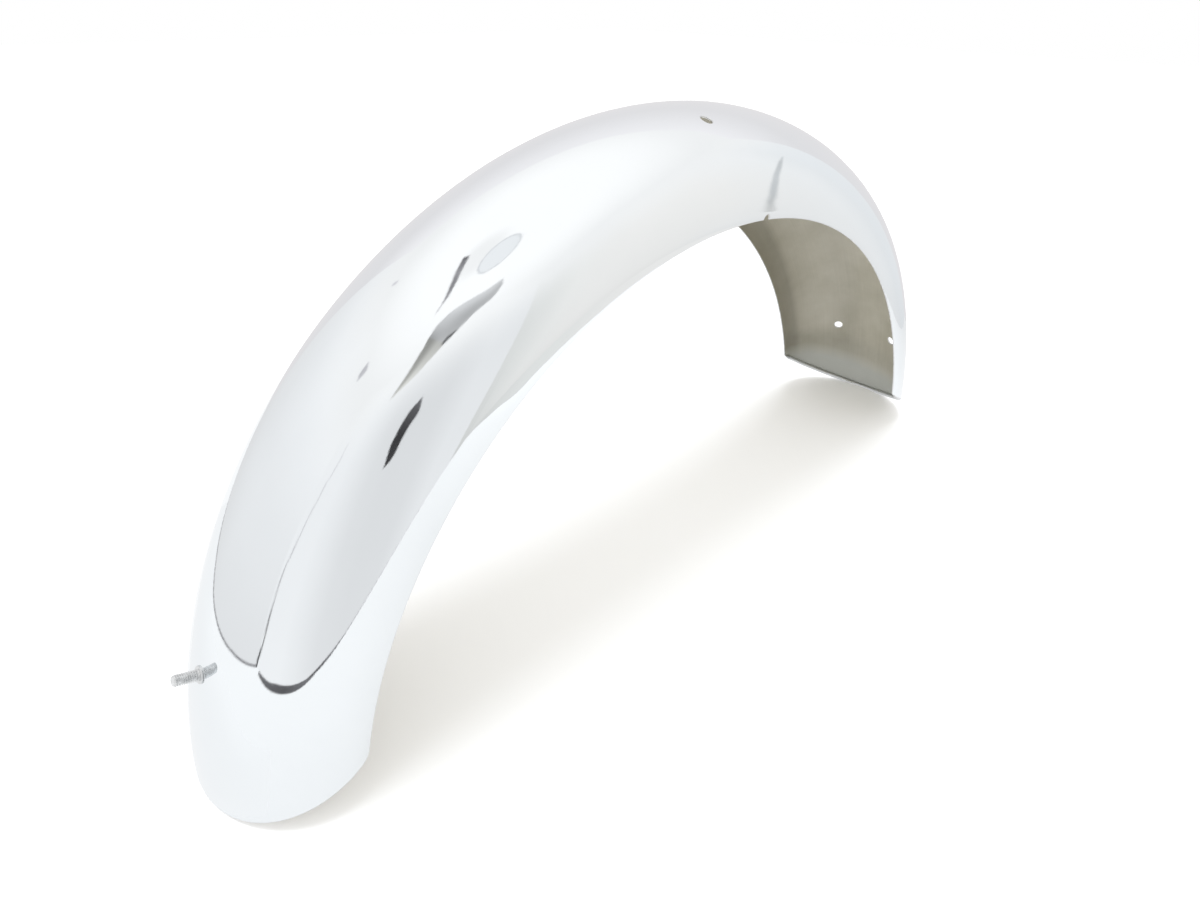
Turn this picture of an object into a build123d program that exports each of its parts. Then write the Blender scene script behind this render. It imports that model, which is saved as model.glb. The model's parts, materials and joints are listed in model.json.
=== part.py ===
"""Motorcycle front mudguard: a deep pressed blade with raked, wired ends, and the stud on its crown."""
import os
from math import acos, asin, cos, degrees, radians, sin, sqrt

from build123d import *

# Blade: one sheet pressed to a deep section and bent round the wheel axle
crown_radius = 350.0       # outside of the crown, from the axle
blade_width = 127.0        # over the widest line of the section
waist_depth = 50.0         # from the crown down to the widest line
edge_depth = 60.0          # from the crown down to the valance edges
sheet = 1.2                # thickness of the steel
half_arc = 82.6            # degrees round the axle, from the top to each end's wire

# Ends: each is cut on a rake that drops outwards, and its edge is rolled round a wire
bead_diameter = 4.0        # over the rolled edge
bead_setback = 0.3         # of the rolled edge behind the outside of the sheet
front_rake = 22.0          # degrees from level
rear_rake = 28.0
front_corner = 10.0        # radius where the front end meets the valance edges
rear_corner = 4.0
land_depth = 0.6           # worn off the bead where the tips stand

# Holes, in pairs either side of the centre line, and the notches in the valance edges
hole_diameter = 7.0
hole_spacing = 60.0
stay_setback = 11.6        # degrees round the axle, from the rear end's wire to the rear stay's holes
notch_angle = 4.9          # degrees back from the top
notch_width = 5.2
notch_height = 3.4

# Stud: threaded outside, a collar on the crown, a head inside
stud_setback = 12.5        # degrees round the axle, from the front end's wire
stud_diameter = 6.0
thread_length = 11.4       # above the collar
tip_chamfer = 0.8
collar_diameter = 9.2
collar_height = 0.8
head_diameter = 9.5
head_height = 1.6
head_round = 0.7
stud_clearance = 0.05      # round the shank, in its hole

# Values that follow
bead_radius = bead_diameter / 2
bead_inset = bead_radius + bead_setback
bead_path_radius = crown_radius - bead_inset
stay_angle = half_arc - stay_setback
stud_angle = half_arc - stud_setback
edge_radius = crown_radius - edge_depth
trim = 3.0                 # run-out of the sheet past the edges it is cut to
axle_z = bead_radius - land_depth - bead_path_radius * cos(radians(half_arc))
axle = Axis((0, 0, axle_z), (0, 1, 0))


def side_point(radius, angle):
    """A point of the side view, by its radius from the axle and its angle back from the top."""
    return (radius * sin(radians(angle)), axle_z + radius * cos(radians(angle)))


def rake_angle(radius, rake):
    """Where the raked line through an end's wire meets a radius, in degrees from the top."""
    reach = bead_path_radius * cos(radians(half_arc - rake))
    return rake + degrees(acos(reach / radius))


def section_arc(inset):
    """The blade's section, drawn below the axle with its crown down, moved in from the outside face."""
    height = waist_depth - inset
    turn = degrees(asin((edge_depth + trim - waist_depth) / height))
    return EllipticalCenterArc(
        (0, axle_z - crown_radius + waist_depth),
        blade_width / 2 - inset,
        height,
        start_angle=180 - turn,
        arc_size=180 + 2 * turn,
    )


def radial_plane(radius, angle):
    """A plane square to the radius at an angle, its x across the blade."""
    x, z = side_point(radius, angle)
    outwards = (sin(radians(angle)), 0, cos(radians(angle)))
    return Plane(origin=(x, 0, z), x_dir=(0, 1, 0), z_dir=outwards)


# Side view: the valance edge, the raked ends and the corners between them
outer_radius = crown_radius + trim
rear_inner = side_point(edge_radius, rake_angle(edge_radius, rear_rake))
rear_outer = side_point(outer_radius, rake_angle(outer_radius, rear_rake))
front_inner = side_point(edge_radius, -rake_angle(edge_radius, front_rake))
front_outer = side_point(outer_radius, -rake_angle(outer_radius, front_rake))
with BuildSketch(Plane.XZ) as side_view:
    with BuildLine():
        Line(rear_inner, rear_outer)
        ThreePointArc(rear_outer, side_point(outer_radius, 0), front_outer)
        Line(front_outer, front_inner)
        ThreePointArc(front_inner, side_point(edge_radius, 0), rear_inner)
    make_face()
    fillet(side_view.vertices().sort_by_distance((*rear_inner, 0))[0], rear_corner)
    fillet(side_view.vertices().sort_by_distance((*front_inner, 0))[0], front_corner)

# Core: the space that the rolled edges' wires lie on the skin of
with BuildPart() as core:
    with BuildSketch(Plane.YZ):
        with BuildLine():
            skin = section_arc(bead_inset)
            Line(skin @ 0, skin @ 1)
        make_face()
    revolve(axis=axle)
    extrude(side_view.sketch, amount=blade_width, both=True, mode=Mode.INTERSECT)
end_faces = core.faces().filter_by(GeomType.PLANE).sort_by(Axis.X)

# Blade: the bent section, trimmed to the side view, with its wired ends, holes and notches
with BuildPart() as blade:
    with BuildSketch(Plane.YZ):
        with BuildLine():
            outside = section_arc(0)
            inside = section_arc(sheet)
            Line(outside @ 0, inside @ 0)
            Line(outside @ 1, inside @ 1)
        make_face()
    revolve(axis=axle)
    extrude(side_view.sketch, amount=blade_width, both=True, mode=Mode.INTERSECT)
    for end_face in (end_faces[0], end_faces[-1]):
        with BuildLine() as wire:
            add(end_face.edges().filter_by(GeomType.LINE, reverse=True))
        with BuildSketch(Plane(wire.wire() ^ 0)):
            Circle(bead_radius)
        sweep()
    split(bisect_by=Plane.XY)
    for angle in (0, stay_angle):
        with Locations(radial_plane(crown_radius, angle)):
            with GridLocations(hole_spacing, 0, 2, 1):
                Hole(hole_diameter / 2, depth=waist_depth)
    with Locations(radial_plane(crown_radius, -stud_angle)):
        Hole(stud_diameter / 2 + stud_clearance, depth=waist_depth)
    with BuildSketch(Plane.XZ):
        with Locations(Location((*side_point(edge_radius, notch_angle), 0), (0, 0, -notch_angle))):
            SlotOverall(2 * notch_height, notch_width, rotation=90)
    extrude(amount=blade_width, both=True, mode=Mode.SUBTRACT)
blade.part.label = "blade"

# Stud: turned in one piece, its collar on the crown and its head drawn up to the curved sheet inside
section_crown = (blade_width / 2 - sheet) ** 2 / (waist_depth - sheet)
head_drop = section_crown - sqrt(section_crown**2 - (head_diameter / 2) ** 2)
head_bottom = -sheet - head_drop - head_height
stud_length = collar_height + thread_length - head_bottom
stud_seat = radial_plane(crown_radius, -stud_angle)
stud_axis = Axis(stud_seat.origin, stud_seat.z_dir)
with BuildPart() as stud:
    with BuildSketch(stud_seat):
        Circle(collar_diameter / 2)
    extrude(amount=collar_height)
    with BuildSketch(stud_seat.offset(head_bottom)):
        Circle(stud_diameter / 2)
    extrude(amount=stud_length)
    chamfer(stud.edges().sort_by(stud_axis)[-1], tip_chamfer)
    with BuildSketch(stud_seat.offset(head_bottom)):
        Circle(head_diameter / 2)
    extrude(amount=head_height)
    fillet(stud.edges().sort_by(stud_axis)[0], head_round)
stud.part.label = "stud"

os.makedirs("parts", exist_ok=True)
for piece in (blade, stud):
    export_step(piece.part, f"parts/{piece.part.label}.step")
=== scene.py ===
"""Looks of the motorcycle front mudguard: the plated blade with its rolled ends, and the threaded stud."""
import json
from math import acos, asin, atan2, ceil, cos, dist, pi, radians, sin

import bpy
from mathutils import Matrix, Vector
from mathutils.geometry import delaunay_2d_cdt
from mathutils.kdtree import KDTree


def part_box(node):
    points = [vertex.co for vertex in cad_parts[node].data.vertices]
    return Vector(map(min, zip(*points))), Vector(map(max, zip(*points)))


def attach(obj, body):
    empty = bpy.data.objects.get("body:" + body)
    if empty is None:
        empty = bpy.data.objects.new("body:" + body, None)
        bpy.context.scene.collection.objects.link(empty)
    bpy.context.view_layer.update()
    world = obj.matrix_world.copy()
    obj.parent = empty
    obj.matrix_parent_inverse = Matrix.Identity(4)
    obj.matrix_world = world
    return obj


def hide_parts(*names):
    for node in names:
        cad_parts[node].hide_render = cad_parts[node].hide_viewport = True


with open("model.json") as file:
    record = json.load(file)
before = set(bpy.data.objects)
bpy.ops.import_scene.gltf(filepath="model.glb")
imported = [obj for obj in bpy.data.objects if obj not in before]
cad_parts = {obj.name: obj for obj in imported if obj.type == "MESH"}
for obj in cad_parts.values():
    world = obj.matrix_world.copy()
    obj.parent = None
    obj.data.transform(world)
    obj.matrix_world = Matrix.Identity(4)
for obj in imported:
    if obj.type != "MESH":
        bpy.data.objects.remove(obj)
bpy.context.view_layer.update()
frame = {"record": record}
mounts = {mount["name"]: mount for mount in frame["record"]["mounts"]}

# The object's lengths are millimetres until a mesh is made, its angles are degrees from the top of the arch
MILLIMETRE = 0.001

# Blade: the sheet's section, its bend round the wheel axle and its raked ends
CROWN_RADIUS = 350.0       # outside of the crown, from the axle
WAIST_DEPTH = 50.0         # from the crown down to the widest line
EDGE_DEPTH = 60.0          # from the crown down to the valance edges
SHEET = 1.2
HALF_ARC = 82.6            # from the top to each end's wire
WIRE_RADIUS = 347.7        # of the wires at the crown, from the axle
FRONT_RAKE = 22.0          # from level
REAR_RAKE = 28.0
FRONT_CORNER = 10.0
REAR_CORNER = 4.0
NOTCH_ANGLE = 4.9
NOTCH_WIDTH = 5.2
NOTCH_HEIGHT = 3.4
blade_low, blade_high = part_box("blade")
HALF_WIDTH = (blade_high.y - blade_low.y) / 2 / MILLIMETRE
AXLE_Z = blade_high.z / MILLIMETRE - CROWN_RADIUS
WAIST_RADIUS = CROWN_RADIUS - WAIST_DEPTH
RIM = SHEET / 2            # radius of the rounded edges
EDGE_RADIUS = CROWN_RADIUS - EDGE_DEPTH + RIM

# Rolled ends: the sheet turned round a wire until its lip comes back to the inside
ROLL_RADIUS = 2.0
ROLL_TURN = 265.0
PLAIN_TURN = 180.0         # of an edge that is only rounded
ROLL_RUNOUT = 7.0          # over which the roll opens out towards a corner
HALF_ROLLED = 0.5
ROLL_STEPS = 15
# Past these steps the roll's outside takes the duller edge plating, as painted shade of the dark line along
# the rolled ends
POLISHED_STEPS = 1         # of the roll that keep the outside's polish
LIP_STEPS = 4
CORE_STEPS = 8

# Mesh: spacing of its points over the skin and along its edges
SKIN_STEP = 4.0
ROW_STEP = 0.87            # between rows of points, as a share of the step along them
CLEAR_STEP = 0.6           # kept clear along the edges, as a share of that step
END_STEP = 2.2
END_MARGIN = 4.0           # degrees that the rows reach past the wires
HOLE_POINTS = 44
CORNER_POINTS = 9
NOTCH_STEPS = 12
SPREAD_ROUND = 330.0       # radii by which the sheet is laid out flat
SPREAD_ACROSS = 56.0
KEEP_INSIDE = 1            # the way of cutting that keeps what lies within the cuts
CUT_TOLERANCE = 1e-5
WELD = 1e-3
NORMAL_STEP = 1e-4         # radians either side of a point, to find its normal

# Chart of the sheet for its materials: the degrees it takes in, round the axle and round the section
SHEET_CHART = "sheet"
CHART_ROUND = 200.0
CHART_ACROSS = 240.0

# Slight waves of the pressed sheet: height, lengths round and across, and phase
WAVES = (
    (0.050, 210.0, 150.0, 0.4),
    (0.028, 118.0, -90.0, 2.1),
    (0.016, 61.0, 70.0, 4.0),
)
WAVE_SKEW = 1.7            # phase across, as a multiple of the phase round

# Stud: an M6 thread with a collar on the crown and a head inside
SHANK_RADIUS = mounts["crown_stud"]["dims"]["r_mm"]
THREAD_PITCH = 1.0
THREAD_DEPTH = 0.613
THREAD_FLAT = 0.125        # at the crest and at the root, as a share of half the pitch
THREAD_FLANK = 0.75
THREAD_LENGTH = 11.4
THREAD_RUNOUT = 1.2
TIP_CHAMFER = 0.8
COLLAR_RADIUS = 4.6
COLLAR_HEIGHT = 0.8
COLLAR_CHAMFER = 0.25
HEAD_RADIUS = 4.75
HEAD_TOP = -1.342          # below the crown
HEAD_HEIGHT = 1.6
HEAD_ROUND = 0.7
HEAD_STEPS = 5
STUD_SEGMENTS = 48
ROWS_PER_PITCH = 10
SHARP_ANGLE = 38.0

# Chrome outside: stops of its colour and of its roughness, and the stretch of its polishing lines
CHROME_COLOURS = ((0.35, (0.91, 0.94, 0.962)), (0.7, (0.89, 0.92, 0.942)))
CHROME_HAZE = ((0.42, 0.018), (0.75, 0.055))
CHROME_MARKS = ((0.45, 0.0), (0.8, 0.035))
CHROME_STRETCH = (5.0, 900.0, 1.0)

# Plating inside: its clouds, its tones by line and by level, and painted shade across it that darkens one
# side, most near that side's valance edge, with the crown at 0.25
INSIDE_COLOURS = ((0.3, (0.56, 0.538, 0.453)), (0.55, (0.615, 0.592, 0.512)), (0.8, (0.665, 0.642, 0.566)))
INSIDE_STRETCH = (6.0, 260.0, 1.0)
INSIDE_LINES = ((0.3, 0.95), (0.7, 1.0))
INSIDE_LEVELS = ((0.36, 1.0), (0.46, 0.89), (0.54, 0.89), (0.70, 1.0))
# Painted shade across the inside: lighter round the crown, darker down one side
INSIDE_SHADE_ACROSS = (
    (0.1, 0.97), (0.2, 1.04), (0.24, 1.02), (0.26, 0.98), (0.285, 0.9), (0.31, 0.9), (0.34, 0.93),
    (0.395, 0.93), (0.403, 0.87), (0.413, 0.76), (0.46, 0.84),
)
INSIDE_ROUGHNESS = ((0.3, 0.74), (0.75, 0.6))
INSIDE_METAL = 0.9
END_SHARES = ((0.31, 0.9), (0.46, 0.0))
END_COLOUR = (0.56, 0.572, 0.542, 1.0)
LEVEL_TILT = -0.11         # of the levels, across the blade
LEVEL_SCALE = 10.0         # levels are decimetres
LEVEL_CLOUDS = 0.2         # of the clouds, which makes the levels uneven

# Dressed edges and zinc plating: stops of their colour and of their roughness
EDGE_COLOURS = ((0.3, (0.66, 0.67, 0.68)), (0.7, (0.8, 0.81, 0.82)))
EDGE_ROUGHNESS = ((0.3, 0.38), (0.7, 0.24))
ZINC_COLOURS = ((0.3, (0.65, 0.66, 0.665)), (0.7, (0.87, 0.88, 0.885)))
ZINC_ROUGHNESS = ((0.3, 0.36), (0.7, 0.2))

# Camera, fitted to the photograph's 1200 by 900 frame
IMAGE_WIDTH = 1200.0
IMAGE_HEIGHT = 900.0
CAMERA_AZIMUTH = -46.175
CAMERA_ELEVATION = 32.274
CAMERA_ROLL = 1.17
CAMERA_DISTANCE = 529.17
CAMERA_TARGET = Vector((-46.139, -10.300, 80.959))
FOCAL_PIXELS = 745.994
CENTRE_PIXEL = (619.302, 459.415)
SENSOR_WIDTH = 36.0
CLIP_START = 0.01          # metres

# Light: an even white surround and two soft lamps overhead, whose shadows lie side by side
WHITE = (1.0, 1.0, 1.0, 1.0)
SURROUND = (1.0, 0.985, 0.96, 1.0)
SURROUND_STRENGTH = 1.0
LAMP_TILTS = (("lamp_over", 0.0), ("lamp_left", 8.0))
LAMP_SPREAD = 12.0
LAMP_STRENGTH = 0.42
LAMP_COLOUR = (0.95, 0.99, 1.05)

# Stage, in metres: a white floor in a white cloth tent, which shows in the mirror alone and hides nothing
FLOOR_SIZE = 12.0
FLOOR_DROP = 0.0002
FLOOR_COLOUR = (0.93, 0.94, 0.95, 1.0)
FLOOR_WHITE = (1.0, 0.985, 0.955, 1.0)
FLOOR_LIFT = 0.165         # added to the eye alone, which makes the open floor white
FLOOR_SHEEN = 0.55         # share of the tones below in the mirrored floor
FLOOR_REACH = 0.6          # of the tones, either way along X
FLOOR_TONES = (
    (0.0, 0.65), (0.25, 0.65), (0.4, 0.64), (0.5, 0.7), (0.56, 0.8), (0.72, 0.8), (0.83, 0.62),
    (0.93, 0.52), (1.0, 0.445),
)
FLOOR_GLOW = 1.36
CLOTH_CHART = "cloth"
TENT_TOP = 0.80
TENT_NEAR = (-0.840, -0.005)
TENT_LEFT_FOLDS = ((-0.740, 0.185), (-0.655, 0.280), (-0.565, 0.375), (-0.525, 0.465))
TENT_LEFT = (-0.220, 0.770)
TENT_FAR = (0.680, -0.055)
TENT_CORNER = (-0.083, -0.594)
TENT_RIGHT = (-0.024, -0.640)
STAND_OFF = 0.004          # of strips from their wall or roof
MARGIN_HEIGHT = 0.001      # of strips above the floor
FOLD_HEIGHT = 0.5
FOLD_DROP = 0.002          # of the fold's edge below it
CURVE_STEPS = 6
CLOTH = (0.98, 0.98, 0.985)
WARM_CLOTH = (1.0, 0.98, 0.955)
COOL_CLOTH = (0.97, 0.985, 1.0)
SHADE_CLOTH = (1.0, 1.0, 0.975)
FAR_CLOTH = (0.99, 0.97, 0.98)
ROOF_CLOTH = (1.09, 1.08, 1.07)
FOLD_CLOTH = (1.0, 0.997, 1.0)
FOLD_SHADE_CLOTH = (1.0, 0.985, 0.93)
CREASE_CLOTH = (0.97, 0.99, 1.0)
MARGIN_CLOTH = (0.996, 1.0, 1.004)
DARK = (1.0, 0.98, 1.02)
ROOF_BLEND = ((0.5, 0.0), (1.0, 1.0))
ROOF_CENTRE = (-0.15, 0.0)
ROOF_TONES = ((0.25, 1.0), (0.7, 0.87))
PANEL_CENTRE = (-0.25, 0.02)
PANEL_TONES = ((0.04, 0.89), (0.12, 1.0))
FOOT_SHADE_TONE = 0.28
LEFT_FOOT_SHADES = (0.006, 0.005, 0.005, 0.006)
FOLD_EDGE_TONE = 0.14
VENT_CENTRE = (-0.217, -0.08)
VENT_RADIUS = 0.065
VENT_RIM = 0.006           # width of the rim
VENT_POINTS = 48
VENT_DROP = 0.006
VENT_RIM_DROP = 0.005
VENT_CLOTH = (0.905, 0.915, 0.925)
VENT_RIM_CLOTH = (0.70, 0.71, 0.725)


def mix(low, high, share):
    """The value a share of the way from low to high."""
    return low + (high - low) * share


def ease(share):
    """A share held between 0 and 1, with a gentle start and end."""
    share = min(max(share, 0.0), 1.0)
    return share * share * (3 - 2 * share)


def section_radius(turn):
    """Radius from the axle of the outside face, at a turn round the section from the crown."""
    return WAIST_RADIUS + WAIST_DEPTH * cos(turn)


def section_turn(radius):
    """Turn round the section at which the outside face has a radius."""
    return acos((radius - WAIST_RADIUS) / WAIST_DEPTH)


def waviness(angle, turn):
    """How far the pressed sheet stands off its true form."""
    along = angle * SPREAD_ROUND
    across = turn * SPREAD_ACROSS
    height = 0.0
    for amount, length, width, phase in WAVES:
        wave = sin(2 * pi * along / length + phase)
        height += amount * wave * cos(2 * pi * across / width + WAVE_SKEW * phase)
    return height


def outside(angle, turn):
    """A point of the outside face, by its angle round the axle and its turn round the section."""
    lift = waviness(angle, turn)
    radius = WAIST_RADIUS + (WAIST_DEPTH + lift) * cos(turn)
    return Vector((radius * sin(angle), (HALF_WIDTH + lift) * sin(turn), AXLE_Z + radius * cos(angle)))


def outward(angle, turn):
    """The outside face's normal."""
    round_axle = outside(angle + NORMAL_STEP, turn) - outside(angle - NORMAL_STEP, turn)
    across = outside(angle, turn + NORMAL_STEP) - outside(angle, turn - NORMAL_STEP)
    return round_axle.cross(across).normalized()


class Skin:
    """Points, normals, chart places and faces of one mesh."""

    def __init__(self):
        self.points = []
        self.normals = []
        self.maps = []
        self.faces = []
        self.kinds = []

    def point(self, place, normal, spot):
        """Add a point, never below the floor, and give its number."""
        self.points.append(Vector((place.x, place.y, max(place.z, 0.0))) * MILLIMETRE)
        self.normals.append(normal)
        self.maps.append(spot)
        return len(self.points) - 1

    def face(self, corners, kind):
        """Add a face without its repeated corners, if three or more are left."""
        kept = [corner for i, corner in enumerate(corners) if corner != corners[i - 1]]
        if len(set(kept)) == len(kept) > 2:
            self.faces.append(kept)
            self.kinds.append(kind)

    def build(self, name, materials):
        """The object, with a material for each kind of face."""
        mesh = bpy.data.meshes.new(name)
        mesh.from_pydata(self.points, [], self.faces)
        for material in materials:
            mesh.materials.append(material)
        layer = mesh.uv_layers.new(name=SHEET_CHART)
        for loop in mesh.loops:
            layer.data[loop.index].uv = self.maps[loop.vertex_index]
        for polygon, kind in zip(mesh.polygons, self.kinds):
            polygon.material_index = kind
            polygon.use_smooth = True
        mesh.normals_split_custom_set_from_vertices(self.normals)
        return show(name, mesh)


def show(name, mesh):
    """An object made from a mesh, in the scene."""
    made = bpy.data.objects.new(name, mesh)
    bpy.context.scene.collection.objects.link(made)
    return made


# Outline of the blade in angle and turn: the raked ends, their corners, the valance edges and the notches
def raked_end(rake, corner):
    """One end from the crown to a valance edge: points on the raked line, then points round the corner."""
    lean = radians(rake)
    reach = WIRE_RADIUS * cos(radians(HALF_ARC) - lean)
    centre_radius = EDGE_RADIUS + corner
    centre_angle = lean + acos((reach + corner) / centre_radius)
    centre = Vector((centre_radius * sin(centre_angle), centre_radius * cos(centre_angle)))
    start = Vector((-sin(lean), -cos(lean)))
    finish = -centre.normalized()
    sweep = start.angle_signed(finish)
    rounded = []
    for i in range(CORNER_POINTS):
        bend = start.copy()
        bend.rotate(Matrix.Rotation(-sweep * i / (CORNER_POINTS - 1), 2))
        spot = centre + bend * corner
        rounded.append((atan2(spot.x, spot.y), section_turn(min(spot.length, CROWN_RADIUS))))
    last_turn = rounded[0][1]
    steps = ceil(last_turn * SPREAD_ACROSS / END_STEP)
    straight = []
    for i in range(steps):
        turn = last_turn * i / steps
        straight.append((lean + acos(reach / section_radius(turn)), turn))
    return straight, rounded


def half_end(rake, corner, side):
    """One end from the crown to a valance edge, as (angle, turn, share of the roll)."""
    straight, rounded = raked_end(rake, corner)
    length = rounded[0][1] * SPREAD_ACROSS
    half = []
    for angle, turn in straight:
        half.append((side * angle, turn, ease((length - turn * SPREAD_ACROSS) / ROLL_RUNOUT)))
    return half + [(side * angle, turn, 0.0) for angle, turn in rounded]


def valance_edge(first, last):
    """A valance edge from the rear to the front, with its notch."""
    edge_turn = section_turn(EDGE_RADIUS)
    half_notch = NOTCH_WIDTH / 2 + RIM
    notch = radians(NOTCH_ANGLE)
    points = []

    def run(start, end):
        steps = ceil((start - end) * EDGE_RADIUS / SKIN_STEP)
        for i in range(1, steps):
            points.append((mix(start, end, i / steps), edge_turn))

    top_radius = EDGE_RADIUS - RIM + NOTCH_HEIGHT - NOTCH_WIDTH / 2
    run(first, notch + half_notch / EDGE_RADIUS)
    points.append((notch + half_notch / EDGE_RADIUS, edge_turn))
    for i in range(NOTCH_STEPS + 1):
        bend = pi * i / NOTCH_STEPS
        radius = top_radius + half_notch * sin(bend)
        points.append((notch + half_notch * cos(bend) / radius, section_turn(radius)))
    points.append((notch - half_notch / EDGE_RADIUS, edge_turn))
    run(notch - half_notch / EDGE_RADIUS, last)
    return points


def other_side(points):
    """Points of the blade's edge, mirrored to its other side."""
    return [(angle, -turn, roll) for angle, turn, roll in points]


def outline():
    """The blade's edge, anticlockwise, as (angle, turn, share of the roll)."""
    rear = half_end(REAR_RAKE, REAR_CORNER, 1)
    front = half_end(FRONT_RAKE, FRONT_CORNER, -1)
    edge = [(angle, turn, 0.0) for angle, turn in valance_edge(rear[-1][0], front[-1][0])]
    loop = other_side(reversed(rear[1:])) + rear
    loop += edge
    loop += list(reversed(front)) + other_side(front[1:])
    loop += other_side(reversed(edge))
    return loop


def mount_angle(name):
    """A mount's angle round the axle, back from the top."""
    x, _, z = mounts[name]["pos_m"]
    return atan2(x / MILLIMETRE, z / MILLIMETRE - AXLE_Z)


def drilled_holes():
    """Every round hole: its angle, its offset from the middle and its radius."""
    holes = [(mount_angle("crown_stud"), 0.0, SHANK_RADIUS)]
    for name in ("bridge_holes", "rear_stay_holes"):
        size = mounts[name]["dims"]
        gap = size.get("spacing_y_mm", size.get("pcd_mm"))
        holes += [(mount_angle(name), side * gap / 2, size["hole_r_mm"]) for side in (-1, 1)]
    return holes


def hole_edge(angle, offset, radius):
    """A round hole's edge, clockwise, drilled square to the crown at an angle and an offset."""
    points = []
    for i in range(HOLE_POINTS):
        bend = -2 * pi * i / HOLE_POINTS
        turn = asin((offset + (radius + RIM) * cos(bend)) / HALF_WIDTH)
        points.append((angle - (radius + RIM) * sin(bend) / section_radius(turn), turn, 0.0))
    return points


def spread(angle, turn):
    """The flat place of a point of the sheet, close to its true lengths."""
    return Vector((angle * SPREAD_ROUND, turn * SPREAD_ACROSS))


def sheet_map(angle, turn, inner):
    """A point's place on the chart, with the outside in the lower half and the inside in the upper half."""
    along = 0.5 + angle / radians(CHART_ROUND)
    across = 0.5 + turn / radians(CHART_ACROSS)
    return (along, 0.5 * across + (0.5 if inner else 0.0))


# Loops that a flat point can be on: none, the outline (0), then the holes
FREE = -1
FIRST_HOLE = 1


def cut_sheet(loops, drilled):
    """The sheet laid flat and cut in triangles: (angle, turn) places, the loops' own first, and corners."""
    flat = []
    cuts = []
    owners = []
    charted = []
    for number, loop in enumerate(loops):
        first = len(flat)
        count = len(loop)
        flat += [spread(angle, turn) for angle, turn, _ in loop]
        cuts += [(first + i, first + (i + 1) % count) for i in range(count)]
        owners += [number] * count
        charted += [(angle, turn) for angle, turn, _ in loop]
    near = KDTree(len(flat))
    for i, place in enumerate(flat):
        near.insert((*place, 0.0), i)
    near.balance()

    centres = [(spread(angle, asin(offset / HALF_WIDTH)), radius + RIM) for angle, offset, radius in drilled]
    across_limit = section_turn(EDGE_RADIUS) * SPREAD_ACROSS
    along_limit = radians(HALF_ARC + END_MARGIN) * SPREAD_ROUND
    rows = ceil(2 * across_limit / (SKIN_STEP * ROW_STEP))
    columns = ceil(2 * along_limit / SKIN_STEP)
    for row in range(rows + 1):
        for column in range(columns + 1):
            place = Vector((
                mix(-along_limit, along_limit, (column + 0.5 * (row % 2)) / columns),
                mix(-across_limit, across_limit, row / rows),
            ))
            clear = all((place - centre).length > radius for centre, radius in centres)
            if clear and near.find((*place, 0.0))[2] > CLEAR_STEP * SKIN_STEP:
                flat.append(place)
                owners.append(FREE)
                charted.append((place.x / SPREAD_ROUND, place.y / SPREAD_ACROSS))

    spots, _, triangles, origins, _, _ = delaunay_2d_cdt(flat, cuts, [], KEEP_INSIDE, CUT_TOLERANCE)
    kept = []
    for triangle in triangles:
        a, b, c = (spots[i] for i in triangle)
        ordered = triangle if (b - a).cross(c - a) > 0 else triangle[::-1]
        ordered = [origins[i][0] for i in ordered]
        on_loops = {owners[i] for i in ordered}
        # A triangle with all its corners on one hole lies in that hole
        if len(on_loops) > 1 or max(on_loops) < FIRST_HOLE:
            kept.append(ordered)
    return charted, kept


def edge_rows(roll):
    """Across an edge from the outside to the inside: places (out, up) and normals, plain or rolled."""
    radius = mix(RIM, ROLL_RADIUS, roll)
    core = mix(0.0, ROLL_RADIUS - SHEET, roll)
    core_centre = Vector((0, SHEET + core))
    turn = radians(mix(PLAIN_TURN, ROLL_TURN, roll))
    inward = Vector((0, -1))
    rows = []
    for i in range(ROLL_STEPS + 1):
        bend = turn * i / ROLL_STEPS
        facing = Vector((sin(bend), cos(bend)))
        rows.append((facing * radius - Vector((0, radius)), facing))
    outer_end = rows[-1][0]
    facing = Vector((sin(turn), cos(turn)))
    inner_end = facing * core - core_centre
    middle = (outer_end + inner_end) / 2
    half = (outer_end - inner_end) / 2
    ahead = Vector((cos(turn), -sin(turn)))
    for i in range(1, LIP_STEPS):
        bend = pi * i / LIP_STEPS
        reach = half * cos(bend) + ahead * half.length * sin(bend)
        rows.append((middle + reach, reach.normalized() if half.length > WELD else inward))
    for i in range(CORE_STEPS, -1, -1):
        bend = turn * i / CORE_STEPS
        facing = Vector((sin(bend), cos(bend)))
        rows.append((facing * core - core_centre, -facing if roll > HALF_ROLLED else inward))
    return rows


OUTER, INNER, EDGE = range(3)


def join_edge(skin, loop, sides):
    """The rounded or rolled edge round one loop, between its points on the two skins."""
    count = len(loop)
    places = [outside(angle, turn) for angle, turn, _ in loop]
    paths = []
    for i, (angle, turn, roll) in enumerate(loop):
        up = outward(angle, turn)
        along = (places[(i + 1) % count] - places[i - 1]).normalized()
        out = along.cross(up).normalized()
        outer, inner = sides[i]
        end = places[i] - up * SHEET
        last = places[i]
        path = [outer]
        rows = edge_rows(roll)
        for j, (reach, facing) in enumerate(rows[1:-1], 1):
            place = places[i] + out * reach.x + up * reach.y
            if (place - end).length < WELD:
                path.append(inner)
            elif (place - last).length < WELD:
                path.append(path[-1])
            else:
                last = place
                normal = (out * facing.x + up * facing.y).normalized()
                path.append(skin.point(place, normal, sheet_map(angle, turn, j > len(rows) // 2)))
        paths.append(path + [inner])
    for i in range(count):
        here = paths[i]
        there = paths[(i + 1) % count]
        rolled = min(loop[i][2], loop[(i + 1) % count][2]) > 0.0
        for j in range(len(here) - 1):
            # Most of a roll's outside takes the edge plating: painted shade of the dark line along the rolled
            # ends
            kind = EDGE
            if rolled and j < POLISHED_STEPS:
                kind = OUTER
            elif rolled and j >= ROLL_STEPS + LIP_STEPS:
                kind = INNER
            skin.face([here[j], here[j + 1], there[j + 1], there[j]], kind)


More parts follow.
